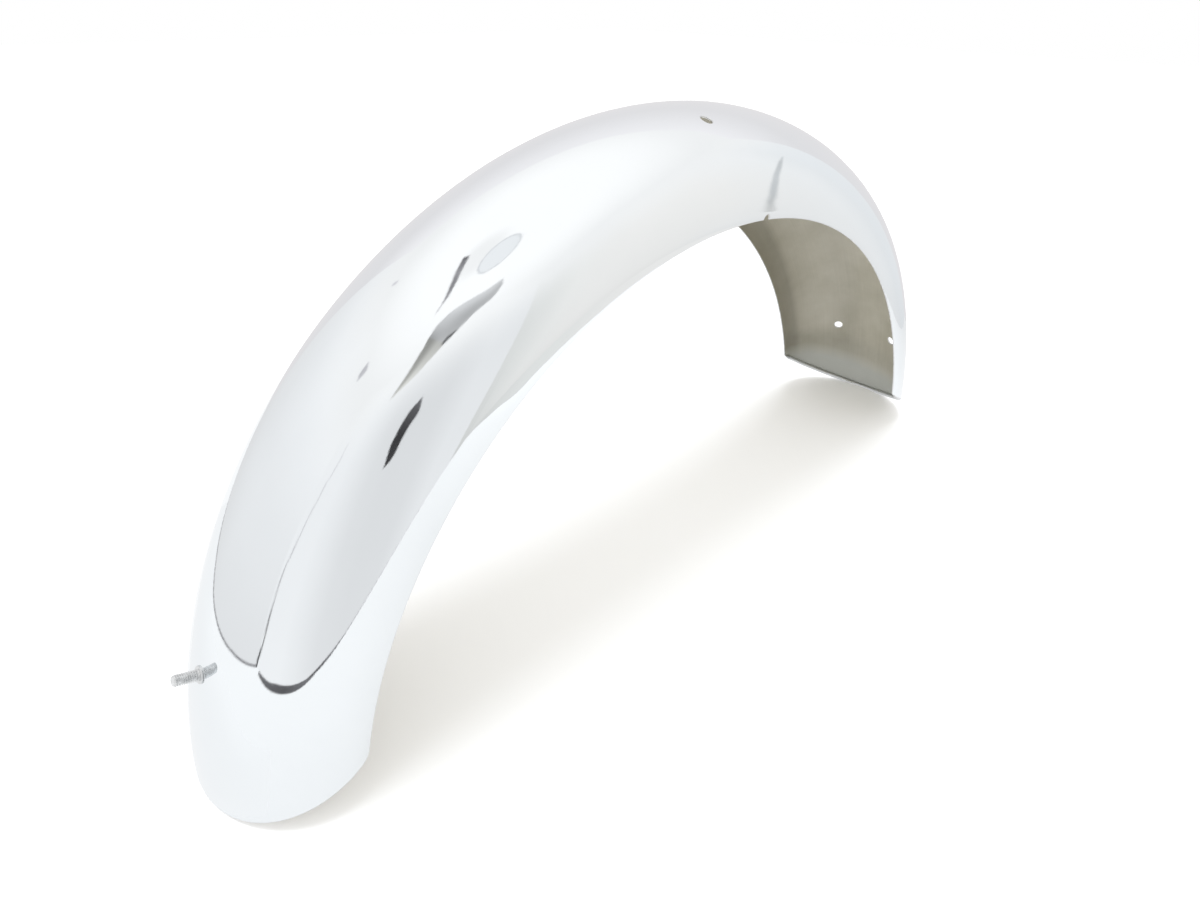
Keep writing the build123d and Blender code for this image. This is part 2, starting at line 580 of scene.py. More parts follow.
def make_blade(materials):
    """The whole sheet: both skins on one set of points, joined round every edge."""
    drilled = drilled_holes()
    loops = [outline()] + [hole_edge(*place) for place in drilled]
    charted, triangles = cut_sheet(loops, drilled)
    skin = Skin()
    sides = {}
    for i in sorted({i for triangle in triangles for i in triangle}):
        angle, turn = charted[i]
        face = outside(angle, turn)
        normal = outward(angle, turn)
        sides[i] = (
            skin.point(face, normal, sheet_map(angle, turn, False)),
            skin.point(face - normal * SHEET, -normal, sheet_map(angle, turn, True)),
        )
    for triangle in triangles:
        skin.face([sides[i][0] for i in triangle], OUTER)
        skin.face([sides[i][1] for i in reversed(triangle)], INNER)
    first = 0
    for loop in loops:
        join_edge(skin, loop, [sides[first + i] for i in range(len(loop))])
        first += len(loop)
    return skin.build("blade_shell", materials)


def thread_radius(height, bend):
    """Radius of the threaded shank at a height above the collar, with its run-out and its chamfered tip."""
    share = (height / THREAD_PITCH - bend / (2 * pi)) % 1.0
    crest = abs(2 * share - 1)
    cut = min(max((1 - crest - THREAD_FLAT) / THREAD_FLANK, 0.0), 1.0)
    radius = SHANK_RADIUS - THREAD_DEPTH * cut * ease(height / THREAD_RUNOUT)
    return min(radius, SHANK_RADIUS - TIP_CHAMFER + (THREAD_LENGTH - height))


def make_stud(material):
    """The stud turned in one piece, with a real thread above its collar."""
    rows = [(HEAD_TOP - HEAD_HEIGHT, HEAD_RADIUS - HEAD_ROUND)]
    for i in range(1, HEAD_STEPS + 1):
        bend = pi / 2 * i / HEAD_STEPS
        rows.append((
            HEAD_TOP - HEAD_HEIGHT + HEAD_ROUND * (1 - cos(bend)),
            HEAD_RADIUS - HEAD_ROUND + HEAD_ROUND * sin(bend),
        ))
    rows += [
        (HEAD_TOP, HEAD_RADIUS),
        (HEAD_TOP, SHANK_RADIUS),
        (0.0, SHANK_RADIUS),
        (0.0, COLLAR_RADIUS),
        (COLLAR_HEIGHT - COLLAR_CHAMFER, COLLAR_RADIUS),
        (COLLAR_HEIGHT, COLLAR_RADIUS - COLLAR_CHAMFER),
    ]
    bends = [2 * pi * k / STUD_SEGMENTS for k in range(STUD_SEGMENTS)]
    rings = [(height, [radius] * STUD_SEGMENTS) for height, radius in rows]
    for i in range(round(THREAD_LENGTH / THREAD_PITCH * ROWS_PER_PITCH) + 1):
        height = i * THREAD_PITCH / ROWS_PER_PITCH
        rings.append((COLLAR_HEIGHT + height, [thread_radius(height, bend) for bend in bends]))

    axis = Vector(mounts["crown_stud"]["axis"]).normalized()
    side = Vector((0, 1, 0))
    other = axis.cross(side)
    seat = Vector((0, 0, AXLE_Z)) + axis * CROWN_RADIUS
    points = []
    faces = []
    for height, radii in rings:
        for bend, radius in zip(bends, radii):
            reach = (side * cos(bend) + other * sin(bend)) * radius
            points.append((seat + axis * height + reach) * MILLIMETRE)
    for i in range(len(rings) - 1):
        for k in range(STUD_SEGMENTS):
            low = i * STUD_SEGMENTS
            high = low + STUD_SEGMENTS
            after = (k + 1) % STUD_SEGMENTS
            faces.append((low + k, low + after, high + after, high + k))
    last = (len(rings) - 1) * STUD_SEGMENTS
    faces.append(tuple(range(STUD_SEGMENTS))[::-1])
    faces.append(tuple(range(last, last + STUD_SEGMENTS)))
    mesh = bpy.data.meshes.new("threaded_stud")
    mesh.from_pydata(points, [], faces)
    mesh.materials.append(material)
    mesh.polygons.foreach_set("use_smooth", [True] * len(faces))
    mesh.set_sharp_from_angle(angle=radians(SHARP_ANGLE))
    return show("threaded_stud", mesh)


# Nodes of the materials
def start_material(name):
    """A new node material, its tree and its surface shader."""
    material = bpy.data.materials.new(name)
    material.use_nodes = True
    return material, material.node_tree, material.node_tree.nodes["Principled BSDF"]


def add(tree, kind, settings=(), **inputs):
    """A node with its settings, and its inputs set or linked by name."""
    node = tree.nodes.new(kind)
    for name, value in dict(settings).items():
        setattr(node, name, value)
    for name, value in inputs.items():
        plug(tree, node, name.replace("_", " "), value)
    return node


def plug(tree, node, name, value):
    """Set one input of a node, or link a socket to it."""
    fill(tree, next(socket for socket in node.inputs if socket.name == name and socket.enabled), value)


def fill(tree, socket, value):
    """Set an input, or link a socket to it."""
    if isinstance(value, bpy.types.NodeSocket):
        tree.links.new(value, socket)
    else:
        socket.default_value = value


def ramp(tree, value, stops, blend="LINEAR"):
    """A colour ramp through (place, colour) stops."""
    node = tree.nodes.new("ShaderNodeValToRGB")
    node.color_ramp.interpolation = blend
    tree.links.new(value, node.inputs["Fac"])
    elements = node.color_ramp.elements
    while len(elements) < len(stops):
        elements.new(0.5)
    for element, (place, colour) in zip(elements, stops):
        element.position = place
        element.color = (*colour, 1.0)
    return node.outputs["Color"]


def grey(level):
    """A grey as a colour."""
    return (level, level, level)


def grey_ramp(tree, value, stops, blend="LINEAR"):
    """A ramp of levels, through (place, level) stops."""
    return ramp(tree, value, [(place, grey(level)) for place, level in stops], blend)


def calculate(tree, operation, *values):
    """The result of a sum on sockets and numbers."""
    node = add(tree, "ShaderNodeMath", {"operation": operation})
    for socket, value in zip(node.inputs, values):
        fill(tree, socket, value)
    return node.outputs["Value"]


def mix_colours(tree, share, first, second, way="MIX"):
    """Two colours mixed by a share, or in another way."""
    settings = {"data_type": "RGBA", "blend_type": way}
    return add(tree, "ShaderNodeMix", settings, Factor=share, A=first, B=second).outputs["Result"]


def join_shaders(tree, node, first, second):
    """Link two shaders to the last two inputs of a node, and give its own shader."""
    tree.links.new(first, node.inputs[-2])
    tree.links.new(second, node.inputs[-1])
    return node.outputs["Shader"]


def noise(tree, place, scale, detail, roughness=0.5):
    """A cloudy pattern."""
    node = add(tree, "ShaderNodeTexNoise", Vector=place, Scale=scale, Detail=detail, Roughness=roughness)
    return node.outputs["Fac"]


def lines_along(tree, chart, stretch, detail):
    """Fine lines along the blade, from a pattern drawn out on the chart."""
    drawn_out = add(tree, "ShaderNodeMapping", Vector=chart, Scale=stretch).outputs["Vector"]
    return noise(tree, drawn_out, scale=2.0, detail=detail)


def on_object(tree):
    """A point's place on the object."""
    return add(tree, "ShaderNodeTexCoord").outputs["Object"]


def on_chart(tree, name):
    """A point's place on a chart."""
    return add(tree, "ShaderNodeUVMap", {"uv_map": name}).outputs["UV"]


def relief(tree, shader, pattern, strength, distance):
    """Give a surface the fine relief of a pattern, with its height in metres."""
    bump = add(tree, "ShaderNodeBump", Strength=strength, Distance=distance, Height=pattern)
    plug(tree, shader, "Normal", bump.outputs["Normal"])


# Materials of the object
def polished_chrome():
    """Bright plating: a mirror with faint smudges and fine polishing lines along the blade."""
    material, tree, shader = start_material("polished_chrome")
    lines = lines_along(tree, on_chart(tree, SHEET_CHART), CHROME_STRETCH, detail=3.0)
    smudge = noise(tree, on_object(tree), scale=14.0, detail=4.0, roughness=0.55)
    haze = grey_ramp(tree, smudge, CHROME_HAZE)
    marks = grey_ramp(tree, lines, CHROME_MARKS)
    plug(tree, shader, "Base Color", ramp(tree, smudge, CHROME_COLOURS))
    plug(tree, shader, "Roughness", calculate(tree, "ADD", haze, marks))
    plug(tree, shader, "Metallic", 1.0)
    relief(tree, shader, lines, strength=0.02, distance=0.0002)
    return material


def inside_plate():
    """Thin plating over unpolished steel: dull and cloudy, greyer at the ends, with painted shade that
    darkens one side.
    """
    material, tree, shader = start_material("inside_plate")
    place = on_object(tree)
    chart = on_chart(tree, SHEET_CHART)
    across = add(tree, "ShaderNodeSeparateXYZ", Vector=chart).outputs["Y"]
    across_inside = calculate(tree, "SUBTRACT", across, 0.5)
    lines = lines_along(tree, chart, INSIDE_STRETCH, detail=4.0)
    clouds = noise(tree, place, scale=17.0, detail=5.0, roughness=0.6)
    grain = noise(tree, place, scale=420.0, detail=3.0)
    spot = add(tree, "ShaderNodeSeparateXYZ", Vector=place)
    tilted = calculate(tree, "MULTIPLY_ADD", spot.outputs["Y"], LEVEL_TILT, spot.outputs["Z"])
    decimetres = calculate(tree, "MULTIPLY", tilted, LEVEL_SCALE)
    level = calculate(tree, "MULTIPLY_ADD", clouds, LEVEL_CLOUDS, decimetres)
    tone = ramp(tree, clouds, INSIDE_COLOURS)
    # The tones across are painted shade, not the plating's own colour
    for value, stops in ((lines, INSIDE_LINES), (level, INSIDE_LEVELS), (across_inside, INSIDE_SHADE_ACROSS)):
        tone = mix_colours(tree, 1.0, tone, grey_ramp(tree, value, stops), "MULTIPLY")
    tone = mix_colours(tree, grey_ramp(tree, level, END_SHARES), tone, END_COLOUR)
    plug(tree, shader, "Base Color", tone)
    plug(tree, shader, "Metallic", INSIDE_METAL)
    plug(tree, shader, "Roughness", grey_ramp(tree, clouds, INSIDE_ROUGHNESS))
    relief(tree, shader, calculate(tree, "ADD", lines, grain), strength=0.12, distance=0.0002)
    return material


def plated_edge():
    """The sheet's dressed edges: plated over file marks. Most of the rolled ends' outside takes it too, where
    its duller tone is painted shade.
    """
    material, tree, shader = start_material("plated_edge")
    marks = noise(tree, on_object(tree), scale=260.0, detail=3.0)
    plug(tree, shader, "Base Color", ramp(tree, marks, EDGE_COLOURS))
    plug(tree, shader, "Roughness", grey_ramp(tree, marks, EDGE_ROUGHNESS))
    plug(tree, shader, "Metallic", 1.0)
    return material


def zinc_plate():
    """Zinc-plated steel: soft silver with a little bloom."""
    material, tree, shader = start_material("zinc_plate")
    bloom = noise(tree, on_object(tree), scale=380.0, detail=4.0, roughness=0.65)
    plug(tree, shader, "Base Color", ramp(tree, bloom, ZINC_COLOURS))
    plug(tree, shader, "Roughness", grey_ramp(tree, bloom, ZINC_ROUGHNESS))
    plug(tree, shader, "Metallic", 1.0)
    relief(tree, shader, bloom, strength=0.15, distance=0.00005)
    return material


blade = make_blade([polished_chrome(), inside_plate(), plated_edge()])
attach(blade, "root")
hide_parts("blade")

stud = make_stud(zinc_plate())
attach(stud, "root")
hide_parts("stud")


# Pieces and materials of the stage
def stage_mesh(name, points, faces, material):
    """A stage object from points and faces."""
    mesh = bpy.data.meshes.new(name)
    mesh.from_pydata(points, [], faces)
    mesh.materials.append(material)
    made = show(name, mesh)
    return made


def card(name, points, faces, material):
    """A stage object that is seen in reflections alone."""
    made = stage_mesh(name, points, faces, material)
    made.visible_camera = False
    made.visible_diffuse = False
    made.visible_transmission = False
    made.visible_volume_scatter = False
    made.visible_shadow = False
    return made


def white_floor():
    """White to the eye, with the object's shadow on it. In the mirror, tones along X are mixed in."""
    material, tree, shader = start_material("white_floor")
    plug(tree, shader, "Base Color", FLOOR_COLOUR)
    plug(tree, shader, "Roughness", 1.0)
    plug(tree, shader, "Specular IOR Level", 0.0)
    path = add(tree, "ShaderNodeLightPath")
    lift = calculate(tree, "MULTIPLY", path.outputs["Is Camera Ray"], FLOOR_LIFT)
    white = add(tree, "ShaderNodeEmission", Color=FLOOR_WHITE, Strength=lift).outputs["Emission"]
    lifted = join_shaders(tree, add(tree, "ShaderNodeAddShader"), shader.outputs["BSDF"], white)
    place = add(tree, "ShaderNodeNewGeometry").outputs["Position"]
    along = add(tree, "ShaderNodeSeparateXYZ", Vector=place).outputs["X"]
    run = add(tree, "ShaderNodeMapRange", Value=along, From_Min=-FLOOR_REACH, From_Max=FLOOR_REACH)
    tone = grey_ramp(tree, run.outputs["Result"], FLOOR_TONES)
    glow = add(tree, "ShaderNodeEmission", Color=(*grey(FLOOR_GLOW), 1.0), Strength=tone).outputs["Emission"]
    share = calculate(tree, "MULTIPLY", path.outputs["Is Glossy Ray"], FLOOR_SHEEN)
    shown = join_shaders(tree, add(tree, "ShaderNodeMixShader", Fac=share), lifted, glow)
    tree.links.new(shown, tree.nodes["Material Output"].inputs["Surface"])
    return material


def start_glow(name, colour):
    """A new material that only gives light, its tree and its light node."""
    material, tree, shader = start_material(name)
    tree.nodes.remove(shader)
    glow = add(tree, "ShaderNodeEmission", Color=(*colour, 1.0))
    tree.links.new(glow.outputs["Emission"], tree.nodes["Material Output"].inputs["Surface"])
    return material, tree, glow


def roof_light():
    """Lit cloth, brightest in the middle, with a duller panel round the vent."""
    material, tree, glow = start_glow("roof_cloth", ROOF_CLOTH)
    place = add(tree, "ShaderNodeNewGeometry").outputs["Position"]
    shares = []
    for centre, stops in ((ROOF_CENTRE, ROOF_TONES), (PANEL_CENTRE, PANEL_TONES)):
        reach = add(tree, "ShaderNodeVectorMath", {"operation": "DISTANCE"})
        fill(tree, reach.inputs[0], place)
        fill(tree, reach.inputs[1], (*centre, TENT_TOP))
        shares.append(grey_ramp(tree, reach.outputs["Value"], stops, "EASE"))
    plug(tree, glow, "Strength", calculate(tree, "MULTIPLY", *shares))
    return material


def even(level):
    """Stops of one level throughout."""
    return ((0.0, level), (1.0, level))


def cloth(name, colour, along, across=even(1.0), far=(), far_colour=ROOF_CLOTH, blend=ROOF_BLEND, tints=()):
    """Lit cloth: its strength goes by (share, level) stops along and across it, its tint by stops along it.

    With far stops, it changes across the blend to their strength and to the far colour.
    """
    material, tree, glow = start_glow(name, colour)
    split = add(tree, "ShaderNodeSeparateXYZ", Vector=on_chart(tree, CLOTH_CHART))
    run = grey_ramp(tree, split.outputs["X"], along)
    rise = grey_ramp(tree, split.outputs["Y"], across)
    strength = calculate(tree, "MULTIPLY", run, rise)
    tint = ramp(tree, split.outputs["X"], tints) if tints else (*colour, 1.0)
    if far:
        far_strength = grey_ramp(tree, split.outputs["X"], far)
        share = grey_ramp(tree, split.outputs["Y"], blend, "EASE")
        strength = add(tree, "ShaderNodeMix", Factor=share, A=strength, B=far_strength).outputs["Result"]
        tint = mix_colours(tree, share, tint, (*far_colour, 1.0))
    plug(tree, glow, "Strength", strength)
    plug(tree, glow, "Color", tint)
    return material


def smooth(row):
    """A row of points with more between them, on a curve through them all."""
    points = [Vector(point) for point in row]
    ends = [2 * points[0] - points[1], *points, 2 * points[-1] - points[-2]]
    curve = [points[0]]
    for before, here, there, after in zip(ends, ends[1:], ends[2:], ends[3:]):
        lead = (there - before) / 2
        follow = (after - here) / 2
        for i in range(1, CURVE_STEPS + 1):
            share = i / CURVE_STEPS
            bend = ease(share)
            pull = share * (1 - share)
            curve.append(mix(here, there, bend) + lead * pull * (1 - share) - follow * pull * share)
    return curve


def band(name, first, second, material):
    """A strip of cloth between two rows of points, charted along the first row and across."""
    count = len(first)
    reach = [0.0]
    for here, there in zip(first, first[1:]):
        reach.append(reach[-1] + (Vector(there) - Vector(here)).length)
    faces = [(i, i + 1, count + i + 1, count + i) for i in range(count - 1)]
    made = card(name, [*first, *second], faces, material)
    layer = made.data.uv_layers.new(name=CLOTH_CHART)
    for loop in made.data.loops:
        i = loop.vertex_index
        layer.data[loop.index].uv = (reach[i % count] / reach[-1], i // count)


def at_height(places, height):
    """Flat places raised to a height."""
    return [(x, y, height) for x, y in places]


def wall(name, base, material):
    """A wall of the tent along points of its base."""
    band(name, at_height(base, 0.0), at_height(base, TENT_TOP), material)


def level_band(name, height, first, second, material):
    """A curved strip of cloth at a height, between two rows of flat places."""
    band(name, smooth(at_height(first, height)), smooth(at_height(second, height)), material)


def on_wall(start, end, along, height):
    """A point just inside a wall, by its way along the base and its height."""
    run = (Vector(end) - Vector(start)).normalized()
    spot = Vector(start) + run * along + Vector((-run.y, run.x)) * STAND_OFF
    return (spot.x, spot.y, height)


def wall_band(name, base, first, second, material):
    """A curved strip of cloth on the wall over a base line, between two rows of (along, height) places."""
    rows = [smooth([on_wall(*base, *spot) for spot in row]) for row in (first, second)]
    band(name, *rows, material)


def strip(name, base, stations, material):
    """A narrow strip up a wall, through (along, height, width) stations."""
    left, right = (
        [(along + side * width / 2, height) for along, height, width in stations] for side in (-1, 1)
    )
    wall_band(name, base, left, right, material)


def hem(name, base, stations, material):
    """A dark line of painted shade along the foot of a wall, through (along, height) stations."""
    wall_band(name, base, [(along, 0.0) for along, _ in stations], stations, material)


def disc(name, colour, radius, drop):
    """A round piece of lit cloth at the vent, a little below the roof."""
    edge = []
    for i in range(VENT_POINTS):
        bend = 2 * pi * i / VENT_POINTS
        edge.append((VENT_CENTRE[0] + radius * cos(bend), VENT_CENTRE[1] + radius * sin(bend)))
    material, _, _ = start_glow(name, colour)
    card(name, at_height(edge, TENT_TOP - drop), [tuple(range(VENT_POINTS))], material)


# Floor
half_floor = FLOOR_SIZE / 2
stage_mesh(
    "floor",
    [(x * half_floor, y * half_floor, -FLOOR_DROP) for x, y in ((-1, -1), (1, -1), (1, 1), (-1, 1))],
    [(0, 1, 2, 3)],
    white_floor(),
)

# Walls, by their tones along the base, up from it, and along the top where they change to the roof's light
wall("tent_left", [TENT_NEAR, *TENT_LEFT_FOLDS, TENT_LEFT], cloth(
    "left_cloth", CLOTH,
    ((0.0, 1.0), (0.45, 1.0), (0.75, 0.955), (1.0, 0.94)),
    ((0.0, 0.83), (0.1, 0.855), (0.2, 0.885), (0.35, 0.905), (0.5, 0.94), (0.7, 0.985), (1.0, 1.0)),
    far=((0.0, 0.87), (0.2, 0.88), (0.35, 0.895), (0.47, 0.9), (0.57, 0.885), (1.0, 0.87)),
))
wall("tent_right", [TENT_NEAR, TENT_CORNER], cloth(
    "right_cloth", CLOTH,
    (
        (0.0, 1.0), (0.24, 1.0), (0.33, 0.95), (0.44, 0.86), (0.54, 0.835), (0.68, 0.84), (0.825, 0.92),
        (1.0, 0.92),
    ),
    ((0.0, 0.96), (0.5, 0.945), (0.75, 0.96), (0.92, 1.0)),
    far=((0.0, 0.87), (0.28, 0.92), (0.54, 0.955), (0.76, 0.94), (1.0, 0.89)),
))
wall("tent_corner", [TENT_CORNER, TENT_RIGHT], cloth(
    "corner_cloth", SHADE_CLOTH,
    ((0.0, 0.83), (1.0, 0.86)),
    ((0.0, 0.80), (0.08, 0.85), (0.3, 0.9), (0.55, 0.935), (0.8, 0.955), (1.0, 1.0)),
    far=((0.0, 0.89), (1.0, 0.875)),
))
wall("tent_far_right", [TENT_RIGHT, TENT_FAR], cloth(
    "far_right_cloth", WARM_CLOTH,
    ((0.0, 0.86), (0.06, 0.90), (0.15, 0.97), (0.28, 1.0), (0.7, 1.0), (0.8, 0.95), (1.0, 0.95)),
    ((0.0, 0.84), (0.08, 0.875), (0.3, 0.905), (0.55, 0.935), (0.8, 0.955), (1.0, 1.0)),
    far=((0.0, 0.875), (0.3, 0.895), (0.6, 0.88), (1.0, 0.87)),
    tints=((0.0, SHADE_CLOTH), (0.25, WARM_CLOTH), (0.5, WARM_CLOTH), (0.85, COOL_CLOTH)),
))
wall("tent_far_left", [TENT_FAR, TENT_LEFT], cloth(
    "far_left_cloth", FAR_CLOTH,
    even(1.0),
    ((0.0, 0.8), (0.6, 0.805), (0.72, 0.85), (0.85, 0.905), (1.0, 0.955)),
))

# Roof
roof_edge = (TENT_NEAR, TENT_RIGHT, TENT_FAR, TENT_LEFT, *reversed(TENT_LEFT_FOLDS))
card("tent_roof", at_height(roof_edge, TENT_TOP), [tuple(range(len(roof_edge)))], roof_light())

# The opening between the near walls, and painted shade in dark lines along the walls' feet
right_wall = (TENT_NEAR, TENT_CORNER)
strip(
    "tent_slit", right_wall,
    (
        (0.000, 0.00, 0.022), (0.020, 0.04, 0.018), (0.034, 0.08, 0.015), (0.037, 0.15, 0.011),
        (0.044, 0.225, 0.009), (0.075, 0.29, 0.008), (0.100, 0.38, 0.008), (0.136, 0.47, 0.006),
        (0.138, 0.54, 0.003),
    ),
    cloth("slit_shade", DARK, ((0.0, 0.04), (0.2, 0.06), (0.27, 0.2), (0.5, 0.4), (0.9, 0.6))),
)
foot_shade_cloth = cloth("hem_shade", DARK, even(FOOT_SHADE_TONE))
foot_corners = (TENT_NEAR, *TENT_LEFT_FOLDS)
for hem_number, foot_height in enumerate(LEFT_FOOT_SHADES):
    foot_end = foot_corners[hem_number]
    foot_start = foot_corners[hem_number + 1]
    foot_stations = ((0.0, foot_height), (dist(foot_start, foot_end), foot_height))
    hem(f"left_hem_{hem_number}", (foot_start, foot_end), foot_stations, foot_shade_cloth)
hem(
    "left_hem_4", (TENT_LEFT, TENT_LEFT_FOLDS[-1]),
    ((0.23, 0.003), (0.33, 0.007), (0.431, 0.006)),
    cloth("left_hem_shade", DARK, ((0.0, 0.6), (0.5, 0.35), (1.0, FOOT_SHADE_TONE))),
)
hem(
    "right_hem", right_wall,
    ((0.40, 0.003), (0.46, 0.006), (0.52, 0.0045), (0.58, 0.0025), (0.85, 0.002)),
    cloth("right_hem_shade", DARK, ((0.0, 0.1), (0.15, 0.15), (0.4, 0.35), (1.0, 0.5))),
)

# Painted shade on the floor, which the mirror alone shows: greyer margins beside the blade's near edge and
# its front end, and a dark band across it
level_band(
    "floor_margin", MARGIN_HEIGHT,
    (
        (-0.024, -0.640), (0.000, -0.585), (0.018, -0.490), (0.035, -0.410), (0.050, -0.300), (0.083, -0.275),
        (0.122, -0.246), (0.173, -0.220), (0.240, -0.222), (0.300, -0.220), (0.360, -0.240), (0.440, -0.255),
    ),
    (
        (-0.024, -0.640), (0.010, -0.612), (0.050, -0.578), (0.100, -0.537), (0.150, -0.495), (0.200, -0.454),
        (0.250, -0.412), (0.290, -0.379), (0.330, -0.346), (0.370, -0.313), (0.400, -0.288), (0.440, -0.254),
    ),
    cloth(
        "margin_shade", SHADE_CLOTH,
        (
            (0.0, 0.62), (0.1, 0.69), (0.3, 0.755), (0.46, 0.8), (0.57, 0.83), (0.65, 0.865), (0.75, 0.88),
            (1.0, 0.88),
        ),
        ((0.0, 0.93), (0.05, 1.0)),
        tints=((0.0, SHADE_CLOTH), (0.5, SHADE_CLOTH), (0.65, WARM_CLOTH)),
    ),
)
level_band(
    "left_margin", MARGIN_HEIGHT,
    (
        (-0.290, 0.350), (-0.312, 0.280), (-0.340, 0.215), (-0.350, 0.150), (-0.348, 0.090), (-0.347, 0.045),
        (-0.347, 0.010), (-0.346, -0.015), (-0.343, -0.045),
    ),
    (
        (-0.400, 0.560), (-0.500, 0.470), (-0.545, 0.360), (-0.570, 0.250), (-0.560, 0.150), (-0.550, 0.085),
        (-0.500, 0.030), (-0.450, -0.020), (-0.420, -0.070),
    ),
    cloth(
        "left_margin_shade", MARGIN_CLOTH,
        ((0.0, 0.957), (0.5, 0.947), (0.8, 0.95), (0.9, 0.958), (1.0, 0.985)),
        far=((0.0, 0.965), (0.3, 0.965), (0.5, 1.0), (0.67, 1.012), (0.85, 1.003), (1.0, 0.996)),
        far_colour=MARGIN_CLOTH,
        blend=((0.2, 0.0), (1.0, 1.0)),
    ),
)
level_band(
    "floor_shade_band", MARGIN_HEIGHT,
    ((-0.80, -0.03), (-0.70, -0.10), (-0.64, -0.175), (-0.555, -0.24), (-0.505, -0.29), (-0.455, -0.35)),
    ((-0.76, -0.03), (-0.66, -0.08), (-0.59, -0.14), (-0.525, -0.21), (-0.485, -0.275), (-0.447, -0.345)),
    cloth("floor_shade", DARK, ((0.0, 0.2), (0.5, 0.12), (1.0, 0.3)), ((0.0, 1.0), (0.8, 0.9), (1.0, 1.0))),
)

# A dark gap in the right wall, and a fold of cloth that hangs below the roof, with painted shade on it
wall_band(
    "tent_notch", right_wall,
    ((0.531, 0.469), (0.546, 0.416), (0.526, 0.385), (0.514, 0.352), (0.508, 0.327), (0.481, 0.315)),
    ((0.531, 0.469), (0.496, 0.448), (0.477, 0.414), (0.470, 0.372), (0.476, 0.339), (0.481, 0.315)),
    cloth("notch_shade", DARK, ((0.0, 0.2), (0.3, 0.11), (0.6, 0.05), (1.0, 0.06))),
)
level_band(
    "fold_low", FOLD_HEIGHT,
    ((-0.505, -0.155), (-0.440, -0.143), (-0.380, -0.120), (-0.347, -0.100)),
    ((-0.505, -0.155), (-0.420, -0.187), (-0.365, -0.191), (-0.334, -0.190)),
    cloth(
        "fold_low_shade", FOLD_SHADE_CLOTH,
        ((0.0, 0.85), (0.35, 0.78), (0.65, 0.66), (1.0, 0.56)),
        ((0.0, 0.55), (0.25, 0.58), (0.6, 0.95), (1.0, 1.0)),
    ),
)
level_band(
    "fold_high", FOLD_HEIGHT,
    ((-0.347, -0.100), (-0.322, -0.090), (-0.285, -0.100), (-0.230, -0.143), (-0.197, -0.156)),
    ((-0.334, -0.190), (-0.300, -0.191), (-0.262, -0.190), (-0.223, -0.198), (-0.200, -0.178)),
    cloth(
        "fold_high_shade", FOLD_CLOTH,
        ((0.0, 0.36), (0.08, 0.5), (0.16, 0.6), (0.4, 0.74), (1.0, 0.72)),
        far=((0.0, 0.54), (0.1, 0.49), (0.3, 0.47), (0.6, 0.5), (1.0, 0.55)),
        far_colour=FOLD_CLOTH,
        blend=((0.0, 0.0), (0.8, 1.0)),
    ),
)
level_band(
    "fold_edge", FOLD_HEIGHT - FOLD_DROP,
    ((-0.337, -0.188), (-0.320, -0.189), (-0.302, -0.191)),
    ((-0.337, -0.177), (-0.320, -0.174), (-0.302, -0.185)),
    cloth("fold_edge_shade", FOLD_CLOTH, even(FOLD_EDGE_TONE)),
)

# Two small marks, a seam and the round vent of the roof
level_band(
    "roof_mark_0", FOLD_HEIGHT,
    ((-0.450, 0.100), (-0.484, 0.112), (-0.504, 0.102)),
    ((-0.450, 0.100), (-0.470, 0.084), (-0.504, 0.102)),
    cloth("mark_shade_0", DARK, even(0.58)),
)
level_band(
    "roof_mark_1", FOLD_HEIGHT,
    ((-0.276, 0.252), (-0.282, 0.275), (-0.291, 0.278)),
    ((-0.276, 0.252), (-0.287, 0.254), (-0.291, 0.278)),
    cloth("mark_shade_1", DARK, even(0.72)),
)
level_band(
    "roof_seam", TENT_TOP - STAND_OFF,
    ((-0.275, 0.115), (-0.325, 0.065), (-0.358, 0.021), (-0.398, -0.026), (-0.450, -0.063)),
    ((-0.264, 0.085), (-0.308, 0.040), (-0.343, 0.000), (-0.386, -0.037), (-0.450, -0.063)),
    cloth("seam_shade", DARK, ((0.0, 0.18), (0.3, 0.36), (0.5, 0.26), (0.8, 0.42), (1.0, 0.6))),
)
disc("vent_rim", VENT_RIM_CLOTH, VENT_RADIUS + VENT_RIM, VENT_RIM_DROP)
disc("vent", VENT_CLOTH, VENT_RADIUS, VENT_DROP)

# A crease in the far right wall, as a strip of painted shade
wall_band(
    "far_crease", (TENT_RIGHT, TENT_FAR),
    (
        (0.546, 0.092), (0.529, 0.149), (0.522, 0.201), (0.530, 0.278), (0.557, 0.342), (0.599, 0.396),
        (0.667, 0.450), (0.738, 0.484),
    ),
    (
        (0.554, 0.085), (0.538, 0.141), (0.533, 0.193), (0.543, 0.269), (0.573, 0.339), (0.612, 0.388),
        (0.675, 0.441), (0.741, 0.482),
    ),
    cloth(
        "crease_shade", CREASE_CLOTH,
        ((0.0, 0.46), (0.15, 0.55), (0.35, 0.61), (0.55, 0.66), (0.85, 0.62), (1.0, 0.7)),
        tints=((0.0, SHADE_CLOTH), (0.3, CREASE_CLOTH)),
    ),
)

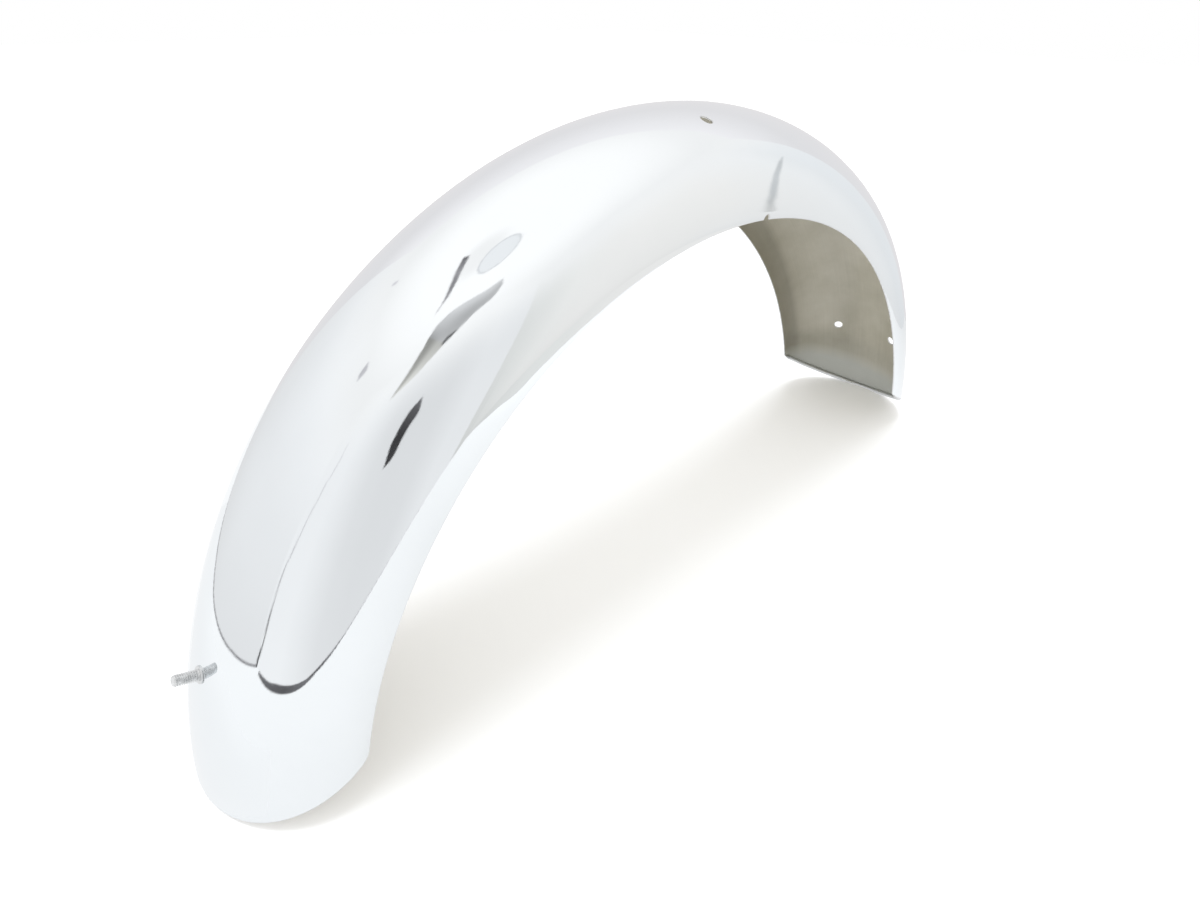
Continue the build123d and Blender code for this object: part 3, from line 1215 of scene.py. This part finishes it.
# Camera
azimuth = radians(CAMERA_AZIMUTH)
elevation = radians(CAMERA_ELEVATION)
roll = radians(CAMERA_ROLL)
back = Vector((sin(azimuth) * cos(elevation), -cos(azimuth) * cos(elevation), sin(elevation)))
level = Vector((0, 0, 1)).cross(back).normalized()
upright = back.cross(level)
camera_right = level * cos(roll) + upright * sin(roll)
camera_up = upright * cos(roll) - level * sin(roll)
camera_data = bpy.data.cameras.new("camera")
camera_data.sensor_fit = "HORIZONTAL"
camera_data.sensor_width = SENSOR_WIDTH
camera_data.lens = FOCAL_PIXELS / IMAGE_WIDTH * SENSOR_WIDTH
camera_data.shift_x = (IMAGE_WIDTH / 2 - CENTRE_PIXEL[0]) / IMAGE_WIDTH
camera_data.shift_y = (CENTRE_PIXEL[1] - IMAGE_HEIGHT / 2) / IMAGE_WIDTH
camera_data.clip_start = CLIP_START
camera = show("camera", camera_data)
turned = Matrix((camera_right, camera_up, back)).transposed().to_4x4()
camera.matrix_world = Matrix.Translation((CAMERA_TARGET + back * CAMERA_DISTANCE) * MILLIMETRE) @ turned
bpy.context.scene.camera = camera

# Surround: its light falls on the object, and plain white shows to the eye and in the mirror
world = bpy.data.worlds.new("surround")
bpy.context.scene.world = world
world.use_nodes = True
world_tree = world.node_tree
world_tree.nodes.clear()
path = add(world_tree, "ShaderNodeLightPath")
seen = calculate(world_tree, "MAXIMUM", path.outputs["Is Camera Ray"], path.outputs["Is Glossy Ray"])
shown = calculate(world_tree, "MAXIMUM", seen, path.outputs["Is Transmission Ray"])
light = add(world_tree, "ShaderNodeBackground", Color=SURROUND, Strength=SURROUND_STRENGTH)
white = add(world_tree, "ShaderNodeBackground", Color=WHITE, Strength=1.0)
chosen = join_shaders(
    world_tree, add(world_tree, "ShaderNodeMixShader", Fac=shown),
    light.outputs["Background"], white.outputs["Background"],
)
world_tree.links.new(chosen, add(world_tree, "ShaderNodeOutputWorld").inputs["Surface"])

# Lamps
for lamp_name, lamp_tilt in LAMP_TILTS:
    lamp_data = bpy.data.lights.new(lamp_name, "SUN")
    lamp_data.energy = LAMP_STRENGTH
    lamp_data.angle = radians(LAMP_SPREAD)
    lamp_data.color = LAMP_COLOUR
    lamp = show(lamp_name, lamp_data)
    lamp.rotation_euler = (radians(-lamp_tilt), 0.0, 0.0)
    lamp.visible_glossy = False

bpy.context.scene.view_settings.view_transform = "Standard"
